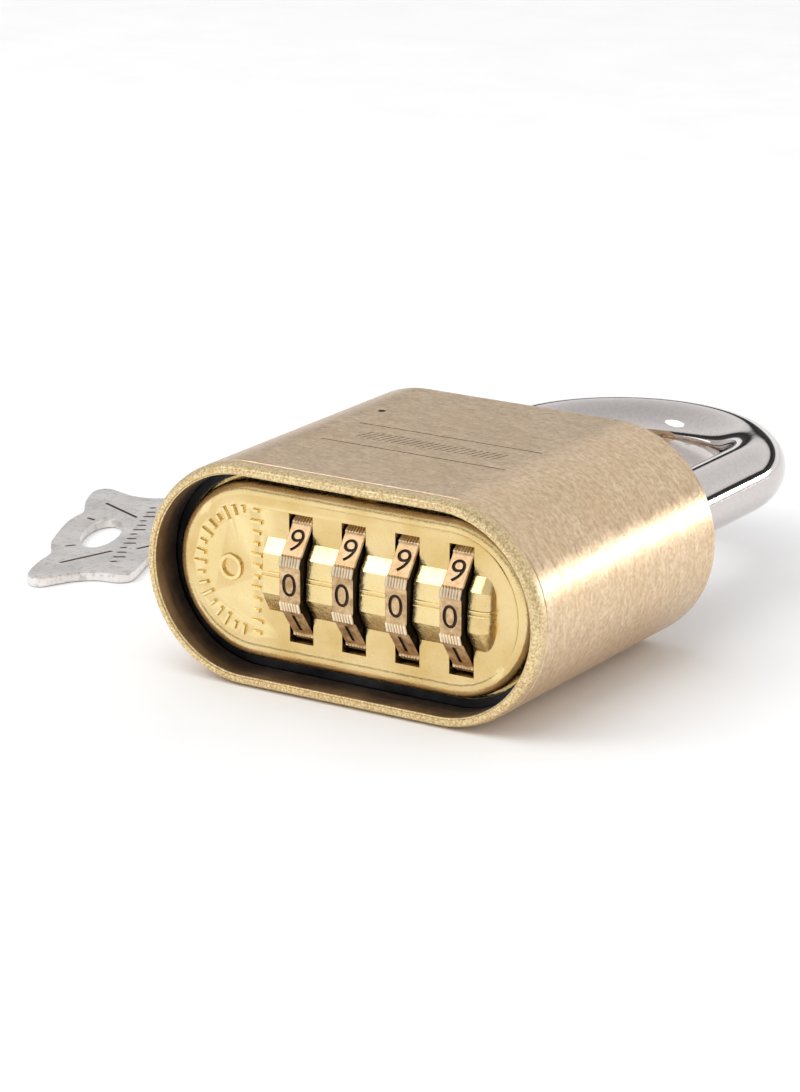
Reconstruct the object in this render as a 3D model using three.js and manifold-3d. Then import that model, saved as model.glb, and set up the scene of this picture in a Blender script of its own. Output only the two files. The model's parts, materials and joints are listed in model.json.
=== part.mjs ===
// Four-dial combination padlock with its change key, in millimetres, +Z up.
// The lock lies flat on its back: X is its width, Y runs from the dial end
// towards the shackle and Z = 0 is the flat face it rests on.
import * as THREE from 'three';
import { mergeVertices } from 'three/addons/utils/BufferGeometryUtils.js';
import ManifoldModule from 'manifold-3d';

// ---- driving dimensions ----
const BODY_WIDTH = 50.8;
const BODY_THICKNESS = 25.4;
const BODY_LENGTH = 38.8;
const MID_Z = BODY_THICKNESS / 2;
const LIP_ROUND_Y = 1.5;
const LIP_ROUND_IN = 0.65;
const SHOULDER_ROUND = 0.5;
const WALL = 1.25;
const CAVITY_FLOOR_Y = 18.1;

const COVER_FACE_Y = 2.55;
const COVER_INSET = 2.6;
const COVER_ROUND = 1.2;
const COVER_FLANGE_Y = 5.3;
const COVER_BACK_Y = 6.2;
const COVER_FLANGE_INSET = 1.55;
const BARREL_RADIUS = 7.25;
const BARREL_BORE = 6.3;
const BARREL_LEFT_X = -10.9;
const BARREL_RIGHT_X = 18.6;
const SLOT_WIDTH = 3.1;
const SLOT_HEIGHT = 14.65;

const DIAL_COUNT = 4;
const DIAL_PITCH = 6.85;
const DIAL_ARRAY_X = 3.9;
const DIAL_AXIS_Y = 8.3;
const DIAL_WIDTH = 2.7;
const DIGIT_COUNT = 10;
const DIGIT_FACE_RADIUS = 8.0;
const DIAL_RIB_RADIUS = 8.45;
const DIAL_BORE = 5.4;
const DIAL_CLUTCH_BORE = 6.2;

const SLEEVE_RADIUS = 5.1;
const CUP_RADIUS = 4.25;
const SPINDLE_RADIUS = 1.5;
const CHANGE_SHIFT = 1.0;

const LEG_X = 15.44;
const SHACKLE_RADIUS = 3.97;
const SHACKLE_TOP_Y = 81.8;
const LEG_BORE = 4.2;
const HEEL_END_Y = 22.0;
const TOE_END_Y = 29.3;
const NECK_RADIUS = 2.6;
const NECK_Y = [23.5, 25.7];

const CARRIAGE_Y = [23.8, 25.4];
const CARRIAGE_HALF_Z = 3.4;
const CHAMBER_TOP_Y = 36.3;
const CHAMBER_HALF_Z = 3.9;
const STEM_X = [-4.1, -3.4];
const HOOK_X = [-4.1, -2.15];
const HOOK_RADII = [2.4, 3.9];

const CAGE_LEFT_X = -11.65;
const CAGE_RIGHT_X = 18.65;
const CAGE_SHEET = 0.65;
const CAGE_BACK_Y = [17.05, 17.7];
const CAGE_SCREWS = [[-7.5, 6.2], [14.9, 6.2], [-7.5, -6.2], [14.9, -6.2]];

const KEY_THICKNESS = 1.1;
const KEY_CENTRE = [-58.4, 36.2];
const KEY_AXIS_DEG = 24;
const KEY_BLADE_LENGTH = 27;
const KEY_BLADE_HALF = 2.1;

const FRAME_Y = BODY_LENGTH / 2;
const FAR = 60;
const ROUND = 44;

// ---- solids ----
const wasm = await ManifoldModule();
wasm.setup();

function solid(geometry) {
  const flat = new THREE.BufferGeometry();
  flat.setAttribute('position', geometry.getAttribute('position'));
  if (geometry.index) flat.setIndex(geometry.index);
  const merged = mergeVertices(flat, 1e-4);
  const position = merged.getAttribute('position').array;
  const index = [];
  let volume = 0;
  const corner = (i) => new THREE.Vector3().fromArray(position, 3 * i);
  for (let i = 0; i < merged.index.count; i += 3) {
    const [a, b, c] = merged.index.array.slice(i, i + 3);
    if (a === b || b === c || a === c) continue;
    index.push(a, b, c);
    volume += corner(a).dot(corner(b).cross(corner(c)));
  }
  if (volume < 0) index.reverse();
  return new wasm.Manifold(new wasm.Mesh({
    numProp: 3,
    vertProperties: new Float32Array(position),
    triVerts: new Uint32Array(index),
  }));
}

function box(x, y, z) {
  const geometry = new THREE.BoxGeometry(x[1] - x[0], y[1] - y[0], z[1] - z[0]);
  geometry.translate((x[0] + x[1]) / 2, (y[0] + y[1]) / 2, (z[0] + z[1]) / 2);
  return solid(geometry);
}

// A closed profile of [radius, height] pairs turned about Y through (x, z).
function turnedY(profile, x, z, segments = ROUND) {
  const points = [...profile, profile[0]].map(([r, h]) => new THREE.Vector2(r, h));
  const geometry = new THREE.LatheGeometry(points, segments);
  geometry.translate(x, 0, z);
  return solid(geometry);
}

// The same about X through (y, z): pairs are [radius, x].
function turnedX(profile, y = DIAL_AXIS_Y, z = MID_Z, segments = ROUND) {
  const points = [...profile, profile[0]].map(([r, h]) => new THREE.Vector2(r, h));
  const geometry = new THREE.LatheGeometry(points, segments);
  geometry.rotateZ(-Math.PI / 2);
  geometry.translate(0, y, z);
  return solid(geometry);
}

const rodY = (r, y0, y1, x, z) => turnedY([[0, y0], [r, y0], [r, y1], [0, y1]], x, z);
const rodX = (r, x0, x1, y, z) => turnedX([[0, x0], [r, x0], [r, x1], [0, x1]], y, z);

// Outline of [x, z] points made into a prism along Y, with both ends rounded
// inwards by roundIn over the length roundY.
function prismY(outline, y0, y1, roundY = 0, roundIn = 0) {
  const shape = new THREE.Shape(outline.map(([x, z]) => new THREE.Vector2(x, z)));
  const geometry = new THREE.ExtrudeGeometry(shape, {
    depth: y1 - y0 - 2 * roundY,
    bevelEnabled: roundY > 0,
    bevelThickness: roundY,
    bevelSize: roundIn,
    bevelOffset: -roundIn,
    bevelSegments: 3,
  });
  geometry.rotateX(Math.PI / 2);
  geometry.translate(0, y1 - roundY, 0);
  return solid(geometry);
}

// Outline of [y, z] points made into a prism along X.
function prismX(outline, x0, x1) {
  const shape = new THREE.Shape(outline.map(([y, z]) => new THREE.Vector2(y, z)));
  const geometry = new THREE.ExtrudeGeometry(shape, { depth: x1 - x0, bevelEnabled: false });
  geometry.applyMatrix4(new THREE.Matrix4().makeBasis(
    new THREE.Vector3(0, 1, 0),
    new THREE.Vector3(0, 0, 1),
    new THREE.Vector3(1, 0, 0),
  ));
  geometry.translate(x0, 0, 0);
  return solid(geometry);
}

// The body's section, a slot shape, moved inwards by inset.
function bodyOutline(inset, steps = 32) {
  const radius = BODY_THICKNESS / 2 - inset;
  const centre = BODY_WIDTH / 2 - BODY_THICKNESS / 2;
  const points = [];
  for (const side of [1, -1]) {
    for (let i = 0; i <= steps; i += 1) {
      const angle = (i / steps - 0.5) * Math.PI;
      const x = side * (centre + radius * Math.cos(angle));
      points.push([x, MID_Z + side * radius * Math.sin(angle)]);
    }
  }
  return points;
}

function spring(radius, wire, turns, height) {
  class Helix extends THREE.Curve {
    getPoint(t) {
      const a = 2 * Math.PI * turns * t;
      return new THREE.Vector3(radius * Math.cos(a), wire + (height - 2 * wire) * t,
        radius * Math.sin(a));
    }
  }
  const ring = [];
  for (let i = 0; i < 6; i += 1) {
    const a = (i * Math.PI) / 3;
    ring.push(new THREE.Vector2(wire * Math.cos(a), wire * Math.sin(a)));
  }
  return new THREE.ExtrudeGeometry(new THREE.Shape(ring), {
    steps: 14 * turns,
    extrudePath: new Helix(),
    bevelEnabled: false,
  });
}

const dialX = [];
for (let k = 0; k < DIAL_COUNT; k += 1) {
  dialX.push(DIAL_ARRAY_X + (k - (DIAL_COUNT - 1) / 2) * DIAL_PITCH);
}

// ---- lock body: brass bar, hollow at the dial end, bored for the shackle ----
function lockBody() {
  let body = prismY(bodyOutline(0), 0, BODY_LENGTH + 8, LIP_ROUND_Y, LIP_ROUND_IN);
  body = body.intersect(prismY(bodyOutline(0), -8, BODY_LENGTH, SHOULDER_ROUND, SHOULDER_ROUND));
  body = body.subtract(prismY(bodyOutline(WALL), -1, CAVITY_FLOOR_Y));
  body = body.subtract(prismY(bodyOutline(0.6), 4.1, 5.0));
  const chamberZ = [MID_Z - CHAMBER_HALF_Z, MID_Z + CHAMBER_HALF_Z];
  body = body.subtract(box([-10.75, LEG_X], [CAVITY_FLOOR_Y - 1, CHAMBER_TOP_Y], chamberZ));
  body = body.subtract(rodY(LEG_BORE, CAVITY_FLOOR_Y - 1, FAR, LEG_X, MID_Z));
  body = body.subtract(rodY(LEG_BORE, TOE_END_Y - 0.4, FAR, -LEG_X, MID_Z));
  body = body.subtract(rodY(2.5, CAVITY_FLOOR_Y - 1, TOE_END_Y, -LEG_X, MID_Z));
  for (const [x, dz] of CAGE_SCREWS) {
    body = body.subtract(rodY(1.2, CAVITY_FLOOR_Y - 1, 24.5, x, MID_Z + dz));
  }
  for (const dz of [-6, 6]) {
    body = body.subtract(rodY(1.1, CAVITY_FLOOR_Y - 1, 22.5, -LEG_X, MID_Z + dz));
  }
  for (const y of [13.9, 21.7]) {
    body = body.subtract(box([-11.2, 12.8], [y - 0.2, y + 0.2], [BODY_THICKNESS - 0.25, FAR]));
  }
  return body;
}

// ---- dial cover: cast plate with the barrel that guards the dials ----
function dialCover() {
  let cover = prismY(bodyOutline(COVER_INSET), COVER_FACE_Y, 12, COVER_ROUND, COVER_ROUND);
  cover = cover.add(prismY(bodyOutline(COVER_FLANGE_INSET), COVER_FLANGE_Y, 12));
  cover = cover.add(rodX(BARREL_RADIUS, BARREL_LEFT_X, BARREL_RIGHT_X, DIAL_AXIS_Y, MID_Z));
  cover = cover.intersect(box([-FAR, FAR], [-FAR, COVER_BACK_Y], [-FAR, FAR]));
  cover = cover.subtract(
    rodX(BARREL_BORE, BARREL_LEFT_X + 0.7, BARREL_RIGHT_X - 0.7, DIAL_AXIS_Y, MID_Z),
  );
  const slotZ = [MID_Z - SLOT_HEIGHT / 2, MID_Z + SLOT_HEIGHT / 2];
  for (const x of dialX) {
    const slotX = [x - SLOT_WIDTH / 2, x + SLOT_WIDTH / 2];
    cover = cover.subtract(box(slotX, [-2, 8], slotZ));
    cover = cover.subtract(
      rodX(DIAL_RIB_RADIUS + 0.4, slotX[0], slotX[1], DIAL_AXIS_Y, MID_Z)
        .intersect(box([-FAR, FAR], [COVER_FACE_Y + 1.4, FAR], [-FAR, FAR])),
    );
  }
  return cover;
}

function coverSnapRing() {
  const ring = prismY(bodyOutline(0.9), 4.3, 4.8).subtract(prismY(bodyOutline(2.2), 4, 6));
  return ring.subtract(box([-2, 2], [4, 6], [BODY_THICKNESS - 5, BODY_THICKNESS + 1]));
}

// ---- dial wheel: ten flat digit faces between raised ribs ----
function dialWheel(x) {
  const outline = [];
  const step = (2 * Math.PI) / DIGIT_COUNT;
  const deg = Math.PI / 180;
  for (let k = 0; k < DIGIT_COUNT; k += 1) {
    const corner = (k + 0.5) * step;
    const faceRadius = DIGIT_FACE_RADIUS / Math.cos(step / 2 - 4.2 * deg);
    for (const [offset, r] of [[-4.2, faceRadius], [-3.2, DIAL_RIB_RADIUS],
      [3.2, DIAL_RIB_RADIUS], [4.2, faceRadius]]) {
      const angle = corner + offset * deg;
      outline.push([DIAL_AXIS_Y - r * Math.cos(angle), MID_Z - r * Math.sin(angle)]);
    }
  }
  const left = x - DIAL_WIDTH / 2;
  const right = x + DIAL_WIDTH / 2;
  let wheel = prismX(outline, left, right);
  wheel = wheel.subtract(rodX(DIAL_BORE, left - 1, right + 1, DIAL_AXIS_Y, MID_Z));
  wheel = wheel.subtract(rodX(DIAL_CLUTCH_BORE, x - 0.15, right + 1, DIAL_AXIS_Y, MID_Z));
  for (let k = 0; k < DIGIT_COUNT; k += 1) {
    wheel = wheel.subtract(clutchTooth(x, k, [4.6, DIAL_CLUTCH_BORE], 0.8, [-2, 0]));
  }
  return wheel;
}

function clutchTooth(x, k, radii, half, span) {
  const geometry = new THREE.BoxGeometry(span[1] - span[0], radii[1] - radii[0], 2 * half);
  geometry.translate((span[0] + span[1]) / 2, (radii[0] + radii[1]) / 2, 0);
  geometry.rotateX((2 * Math.PI * k) / DIGIT_COUNT);
  geometry.translate(x, DIAL_AXIS_Y, MID_Z);
  return solid(geometry);
}

// ---- gate sleeve: toothed hub with a cup whose rim has one gate ----
function gateSleeve(x) {
  let sleeve = turnedX([
    [1.8, x - 1.7], [CUP_RADIUS, x - 1.7], [CUP_RADIUS, x - 3.15], [SLEEVE_RADIUS, x - 3.15],
    [SLEEVE_RADIUS, x + 0.5], [1.8, x + 0.5],
  ]);
  for (let k = 0; k < DIGIT_COUNT; k += 1) {
    sleeve = sleeve.add(clutchTooth(x, k, [4.6, 5.95], 0.55, [-1.05, -0.35]));
  }
  const gateY = [DIAL_AXIS_Y + 3, DIAL_AXIS_Y + 6];
  return sleeve.subtract(box([x - 4, x - 1.75], gateY, [MID_Z - 1.35, MID_Z + 1.35]));
}

function spindle() {
  const profile = [[0, -12.54], [0.8, -12.54], [SPINDLE_RADIUS, -12.1]];
  for (const x of dialX) {
    profile.push([SPINDLE_RADIUS, x - 2.2], [2.15, x - 2.2], [2.15, x - 1.9]);
    profile.push([SPINDLE_RADIUS, x - 1.9]);
  }
  profile.push([SPINDLE_RADIUS, 19.4], [0, 19.4]);
  return turnedX(profile, DIAL_AXIS_Y, MID_Z, 24);
}

function sleeveClip(x) {
  const profile = [[1.6, x + 0.75], [2.6, x + 0.75], [2.6, x + 1.1], [1.6, x + 1.1]];
  const ring = turnedX(profile, DIAL_AXIS_Y, MID_Z, 24);
  return ring.subtract(box([x, x + 2], [DIAL_AXIS_Y - 4, DIAL_AXIS_Y], [MID_Z - 0.8, MID_Z + 0.8]));
}

// ---- mechanism cage: folded steel sheet that carries the spindle ----
function mechanismCage() {
  const height = [MID_Z - 8, MID_Z + 8];
  let cage = box([CAGE_LEFT_X, CAGE_RIGHT_X], CAGE_BACK_Y, height);
  const cheekZ = [MID_Z - 5.5, MID_Z + 5.5];
  const cheekY = [6.8, CAGE_BACK_Y[1]];
  cage = cage.add(box([CAGE_LEFT_X, CAGE_LEFT_X + CAGE_SHEET], cheekY, cheekZ));
  cage = cage.add(box([CAGE_RIGHT_X - CAGE_SHEET, CAGE_RIGHT_X], cheekY, cheekZ));
  cage = cage.subtract(rodX(1.8, -FAR, FAR, DIAL_AXIS_Y, MID_Z));
  for (const x of dialX) {
    const slotX = [x + HOOK_X[0] - 0.35, x + HOOK_X[1] + 0.35];
    cage = cage.subtract(box(slotX, [16, 19], [MID_Z - 1.4, MID_Z + 1.4]));
  }
  for (const [x, dz] of CAGE_SCREWS) {
    cage = cage.subtract(rodY(1.2, 16, 19, x, MID_Z + dz));
  }
  return cage;
}

function screw(x, z, headY, tipY, shank) {
  const head = headY + 0.7;
  const body = turnedY([
    [0, headY], [1.5, headY], [1.7, headY + 0.2], [1.7, head], [shank, head],
    [shank, tipY - 0.6], [shank - 0.4, tipY], [0, tipY],
  ], x, z, 20);
  return body.subtract(box([x - 3, x + 3], [headY - 1, headY + 0.35], [z - 0.2, z + 0.2]));
}

// ---- detent comb: leaf spring with one bent finger under each dial ----
function detentComb() {
  const leaf = [2.0, 2.4];
  let comb = box([-8.2, 15.3], [14.2, 16.7], leaf);
  comb = comb.add(box([-9.2, 16.8], [16.35, 16.7], [2.7, 8.4]));
  comb = comb.add(box([-8.2, 15.3], [16.35, 16.7], [2.0, 3.0]));
  for (const x of dialX) {
    comb = comb.add(box([x - 0.9, x + 0.9], [6.8, 14.4], leaf));
    const nub = [[7.3, 2.3], [9.3, 2.3], [8.6, 3.9], [8.0, 3.9]];
    comb = comb.add(prismX(nub, x - 0.9, x + 0.9));
  }
  for (const [x, dz] of CAGE_SCREWS.slice(2)) {
    comb = comb.subtract(rodY(1.2, 15.8, 18, x, MID_Z + dz));
  }
  return comb;
}

// ---- latch carriage: rides on the shackle and hooks into the four cups ----
function latchCarriage() {
  const height = [MID_Z - CARRIAGE_HALF_Z, MID_Z + CARRIAGE_HALF_Z];
  let carriage = box([dialX[0] + STEM_X[0], LEG_X + 1.3], CARRIAGE_Y, height);
  carriage = carriage.subtract(rodY(NECK_RADIUS + 0.3, 20, 30, LEG_X, MID_Z));
  carriage = carriage.subtract(box([LEG_X, LEG_X + 5], [20, 30], [MID_Z - 2.9, MID_Z + 2.9]));
  for (const x of dialX) {
    const stemY = [DIAL_AXIS_Y + HOOK_RADII[0], CARRIAGE_Y[0] + 0.5];
    const hookY = [DIAL_AXIS_Y + HOOK_RADII[0], DIAL_AXIS_Y + HOOK_RADII[1]];
    const width = [MID_Z - 1, MID_Z + 1];
    carriage = carriage.add(box([x + STEM_X[0], x + STEM_X[1]], stemY, width));
    carriage = carriage.add(box([x + HOOK_X[0], x + HOOK_X[1]], hookY, width));
  }
  return carriage;
}

// ---- shackle: round bar bent to a U, long heel leg with a turned neck ----
function shackle() {
  const bend = LEG_X;
  const bendY = SHACKLE_TOP_Y - SHACKLE_RADIUS - bend;
  const heel = bendY - HEEL_END_Y;
  const toe = bendY - TOE_END_Y;
  const length = heel + Math.PI * bend + toe;
  class ShacklePath extends THREE.Curve {
    getPoint(t) {
      const s = t * length;
      if (s < heel) return new THREE.Vector3(LEG_X, HEEL_END_Y + s, MID_Z);
      if (s > length - toe) return new THREE.Vector3(-LEG_X, TOE_END_Y + length - s, MID_Z);
      const a = (s - heel) / bend;
      return new THREE.Vector3(bend * Math.cos(a), bendY + bend * Math.sin(a), MID_Z);
    }
  }
  const section = [];
  for (let i = 0; i < 28; i += 1) {
    const a = (i * Math.PI) / 14;
    section.push(new THREE.Vector2(SHACKLE_RADIUS * Math.cos(a), SHACKLE_RADIUS * Math.sin(a)));
  }
  let bar = solid(new THREE.ExtrudeGeometry(new THREE.Shape(section), {
    steps: 60,
    extrudePath: new ShacklePath(),
    bevelEnabled: false,
  }));
  bar = bar.subtract(turnedY([
    [NECK_RADIUS, NECK_Y[0]], [6, NECK_Y[0]], [6, NECK_Y[1]], [NECK_RADIUS, NECK_Y[1]],
  ], LEG_X, MID_Z));
  for (const [x, y] of [[LEG_X, HEEL_END_Y], [-LEG_X, TOE_END_Y]]) {
    bar = bar.subtract(turnedY([[3.1, y - 0.1], [6, y - 0.1], [6, y + 2.8]], x, MID_Z));
  }
  return bar;
}

function ejectorSpring(x) {
  const coil = spring(1.7, 0.3, 5, 5.6);
  coil.translate(x, CAGE_BACK_Y[1] + 0.25, MID_Z);
  return solid(coil);
}

function spindleSpring() {
  const coil = spring(2.0, 0.2, 2, 1.45);
  coil.rotateZ(-Math.PI / 2);
  coil.translate(16.4, DIAL_AXIS_Y, MID_Z);
  return solid(coil);
}

// ---- change cam: turned by the key, its lobe pushes the spindle across ----
function changeCam() {
  const lobe = [];
  for (let i = 0; i < 72; i += 1) {
    const a = i * 5;
    let r = 2.6;
    if (a <= 90) r += (CHANGE_SHIFT * a) / 90;
    else if (a < 140) r += (CHANGE_SHIFT * (140 - a)) / 50;
    const angle = (a * Math.PI) / 180;
    lobe.push([-LEG_X + r * Math.cos(angle), MID_Z + r * Math.sin(angle)]);
  }
  let cam = prismY(lobe, 6.8, 9.9);
  cam = cam.add(rodY(1.9, 9.5, 26.5, -LEG_X, MID_Z));
  cam = cam.add(rodY(3.2, 16.3, 17.7, -LEG_X, MID_Z));
  const slot = box([-LEG_X - 5, -LEG_X + 5], [23, 30], [MID_Z - 0.75, MID_Z + 0.75]);
  return cam.subtract(slot);
}

function camPlate() {
  const wide = [-LEG_X - 2.9, -LEG_X + 2.9];
  let plate = box(wide, [15.1, 15.8], [MID_Z - 7.4, MID_Z + 7.4]);
  plate = plate.add(box(wide, [15.5, 17.8], [MID_Z + 4.3, MID_Z + 7.4]));
  plate = plate.add(box(wide, [15.5, 17.8], [MID_Z - 7.4, MID_Z - 4.3]));
  plate = plate.subtract(rodY(2.3, 14, 19, -LEG_X, MID_Z));
  for (const dz of [-6, 6]) {
    plate = plate.subtract(rodY(1.1, 14, 19, -LEG_X, MID_Z + dz));
  }
  return plate;
}

// ---- change key: flat stamped bow with a long hole, lying beside the lock ----
function changeKey() {
  const half = [
    [-5.6, 3.5], [-5.1, 6.6], [-4.5, 9], [-5.2, 13], [-5.4, 16.8], [-4.9, 18.9], [-3.4, 19.6],
    [-1.6, 18.2], [0.4, 16.7], [3, 16.1], [5.4, 16.6], [6.9, 15.8], [7.3, 13.5], [7.6, 9],
    [8.4, 5.2], [10, 3.2], [12.4, KEY_BLADE_HALF],
    [KEY_BLADE_LENGTH - 1.6, KEY_BLADE_HALF], [KEY_BLADE_LENGTH, 0.8],
  ];
  const mirrored = half.map(([u, v]) => [u, -v]);
  const outline = [...mirrored, ...half.reverse()];
  const shape = new THREE.Shape(outline.map(([u, v]) => new THREE.Vector2(u, v)));
  const hole = new THREE.Path();
  hole.absellipse(-0.2, 0, 2.35, 6.1, 0, 2 * Math.PI, true);
  shape.holes.push(hole);
  const geometry = new THREE.ExtrudeGeometry(shape, {
    depth: KEY_THICKNESS,
    bevelEnabled: false,
    curveSegments: 36,
  });
  geometry.rotateZ((KEY_AXIS_DEG * Math.PI) / 180);
  geometry.translate(KEY_CENTRE[0], KEY_CENTRE[1], 0);
  return solid(geometry);
}

// ---- assembly ----
const brass = [0xc8a06a, 0.38, 0.9];
const gilt = [0xd8b45c, 0.3, 0.9];
const dialBrass = [0x8a6334, 0.42, 0.9];
const chrome = [0xd2d0d4, 0.12, 1.0];
const steel = [0x8f9297, 0.4, 0.9];
const springSteel = [0x5e6268, 0.35, 0.9];
const zinc = [0xb3ae9c, 0.5, 0.8];
const nickel = [0xb9b4b6, 0.42, 0.9];

const padlock = new THREE.Group();
padlock.name = 'combination_padlock';

function place(name, [color, roughness, metalness], manifold) {
  const { numProp, vertProperties, triVerts } = manifold.getMesh();
  const geometry = new THREE.BufferGeometry();
  geometry.setAttribute('position', new THREE.BufferAttribute(vertProperties, numProp));
  geometry.setIndex(new THREE.BufferAttribute(triVerts, 1));
  geometry.translate(0, -FRAME_Y, 0);
  const material = new THREE.MeshStandardMaterial({ color, roughness, metalness });
  const mesh = new THREE.Mesh(geometry, material);
  mesh.name = name;
  padlock.add(mesh);
}

place('lock_body', brass, lockBody());
place('dial_cover', gilt, dialCover());
place('cover_snap_ring', springSteel, coverSnapRing());
place('mechanism_cage', steel, mechanismCage());
place('detent_comb', springSteel, detentComb());
place('spindle', steel, spindle());
place('spindle_spring', springSteel, spindleSpring());
dialX.forEach((x, k) => {
  place(`dial_wheel_${k + 1}`, dialBrass, dialWheel(x));
  place(`gate_sleeve_${k + 1}`, zinc, gateSleeve(x));
  place(`sleeve_clip_${k + 1}`, springSteel, sleeveClip(x));
});
CAGE_SCREWS.forEach(([x, dz], k) => {
  place(`cage_screw_${k + 1}`, steel, screw(x, MID_Z + dz, 15.5, 23.8, 0.9));
});
place('shackle', chrome, shackle());
place('latch_carriage', steel, latchCarriage());
place('ejector_spring_1', springSteel, ejectorSpring(dialX[0] + 0.3));
place('ejector_spring_2', springSteel, ejectorSpring(dialX[2] + 0.3));
place('change_cam', steel, changeCam());
place('cam_plate', steel, camPlate());
[6, -6].forEach((dz, k) => {
  place(`cam_screw_${k + 1}`, steel, screw(-LEG_X, MID_Z + dz, 14.3, 21.8, 0.8));
});
place('change_key', nickel, changeKey());

export default padlock;
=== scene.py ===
"""The looks of a brass combination padlock and its change key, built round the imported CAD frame.

Shapes are worked out in millimetres in the CAD's own frame and scaled to metres when they are done.
"""

import json
import math

import bmesh
import bpy
from mathutils import Matrix, Vector


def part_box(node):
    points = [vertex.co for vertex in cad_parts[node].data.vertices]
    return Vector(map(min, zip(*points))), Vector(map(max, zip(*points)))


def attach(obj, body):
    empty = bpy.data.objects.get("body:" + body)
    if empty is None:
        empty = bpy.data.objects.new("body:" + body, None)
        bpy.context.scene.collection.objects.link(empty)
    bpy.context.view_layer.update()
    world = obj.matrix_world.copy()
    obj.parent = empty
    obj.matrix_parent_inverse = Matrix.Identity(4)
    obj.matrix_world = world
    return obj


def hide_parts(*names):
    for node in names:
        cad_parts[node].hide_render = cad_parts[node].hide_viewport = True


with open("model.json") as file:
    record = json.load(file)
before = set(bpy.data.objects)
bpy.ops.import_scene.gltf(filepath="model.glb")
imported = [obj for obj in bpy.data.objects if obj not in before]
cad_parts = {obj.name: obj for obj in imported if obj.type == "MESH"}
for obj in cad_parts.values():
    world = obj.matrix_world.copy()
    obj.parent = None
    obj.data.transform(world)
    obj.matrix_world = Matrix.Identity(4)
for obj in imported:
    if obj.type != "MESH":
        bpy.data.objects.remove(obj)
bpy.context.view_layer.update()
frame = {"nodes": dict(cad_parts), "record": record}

MM = 0.001
SLIVER = 0.0005
FAR = 40
CUT_SLOTS = [bpy.data.materials.new(f"slot_{k}") for k in range(3)]


def box_mm(node):
    """Lowest and highest corner of a CAD node, in millimetres."""
    low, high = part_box(node)
    return Vector(low) / MM, Vector(high) / MM


# ---- driving dimensions, in millimetres ----
BODY_LOW, BODY_HIGH = box_mm("lock_body")
RIM_Y = BODY_LOW.y
MID_Z = (BODY_LOW.z + BODY_HIGH.z) / 2
HALF_THICK = (BODY_HIGH.z - BODY_LOW.z) / 2
HALF_WIDTH = (BODY_HIGH.x - BODY_LOW.x) / 2
WALL = 1.25
CAVITY_DEPTH = 18.1
LIP_ROUND = 1.5
LIP_ROUND_IN = 0.65
LIP_LINE = ((0, 1.62), (0.09, 1.7), (0.09, 1.8), (0, 1.88))
SHOULDER_ROUND = 0.5
RING_GROOVE = (4.1, 5.0)
RING_GROOVE_INSET = 0.6
MOUTH_ROUND = (0.2, 0.25)
CHAMBER_LEFT = -10.75
CHAMBER_END = 36.3
CHAMBER_HALF = 3.9
CAM_BORE = 2.5
CAGE_SCREW_X = (-7.5, 14.9)
CAGE_SCREW_Z = 6.2
CAGE_SCREW_HOLE = (1.2, 24.5)
CAM_SCREW_Z = 6.0
CAM_SCREW_HOLE = (1.1, 22.5)
GROOVE_DEPTH = 0.14
GROOVE_HALF = 0.13
GROOVE_RUN_OUT = 0.25
GROOVES = (13.9, 21.7)
GROOVE_X = (-11.2, 12.8)
HATCH_X = (-8.0, 9.6)
HATCH_COUNT = 23
HATCH_LEAN = 0.4
HATCH_HALF = 1.35
HATCH_CUT = 0.11
PUNCH = (-11.75, 27.3)

COVER_HIGH = box_mm("dial_cover")[1]
COVER_FACE = RIM_Y + 2.55
COVER_INSET = 2.6
COVER_ROUND = 1.2
FLANGE_INSET = 1.55
FLANGE_THICK = 0.9
FLANGE_CHAMFER = 0.15
COVER_DISH = ((0.25, 0), (0.45, 0.1), (0.7, 0.13))
BARREL_RADIUS = 7.25
BARREL_BORE = 6.3
BARREL_X = (-10.9, 18.6)
BARREL_END_WALL = 0.7
BARREL_CHAMFER = (0.3, 0.35)
BARREL_NOSE = (1.5, 1.9)
BARREL_CORNERS = (180, 120, 80, 50, 22, -14, -48, -80, -120)
INDEX_FLAT = (22, -14)
INDEX_RIDGES = ((6.6, 0), (6.0, 0.13), (4.6, 0.13), (4.0, 0), (2.4, 0), (1.8, 0.13), (0.4, 0.13), (-0.2, 0))
SLOT = (3.1, 14.65)
RIB_CLEARANCE = 0.4
RIB_ROOM_DEPTH = 1.4

MARKS_RADIUS = 7.0
MARK_RING = (1.55, 1.05)
MARK_RING_IN = 2.9

DIAL_BOXES = [box_mm(f"dial_wheel_{k}") for k in range(1, 5)]
DIAL_X = [(low.x + high.x) / 2 for low, high in DIAL_BOXES]
DIAL_WIDTH = DIAL_BOXES[0][1].x - DIAL_BOXES[0][0].x
DIAL_AXIS = Vector((0, RIM_Y + 8.3, MID_Z))
FACE_RADIUS = 8.0
RIB_RADIUS = 8.45
RIB_FOOT = 5.2
RIB_SHOULDER = 4.0
RIB_TOP = 3.4
DIAL_CHAMFER = 0.12
DIAL_BORE = 5.4
DIAL_CUP = 6.2
DIAL_CUP_FROM = -0.15
KNURL_X = (-0.9, -0.54, -0.18, 0.18, 0.54, 0.9)
KNURL_DEPTH = 0.11
KEYWAY_HALF = 0.8
FIGURES = 10
FIGURE_HEIGHT = 2.6
FIGURE_SPREAD = 1.12
FIGURE_DEPTH = 0.17

SHACKLE_LOW, SHACKLE_HIGH = box_mm("shackle")
BAR_RADIUS = (SHACKLE_HIGH.z - SHACKLE_LOW.z) / 2
LEG_X = SHACKLE_HIGH.x - BAR_RADIUS
BEND_Y = SHACKLE_HIGH.y - BAR_RADIUS - LEG_X
TOE_END = RIM_Y + 29.3
NECK = (RIM_Y + 23.5, RIM_Y + 25.7, 2.6)
LEG_END = ((0, 3.1), (0.25, 3.6), (0.8, BAR_RADIUS))
LEG_BORE = 4.2

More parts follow.
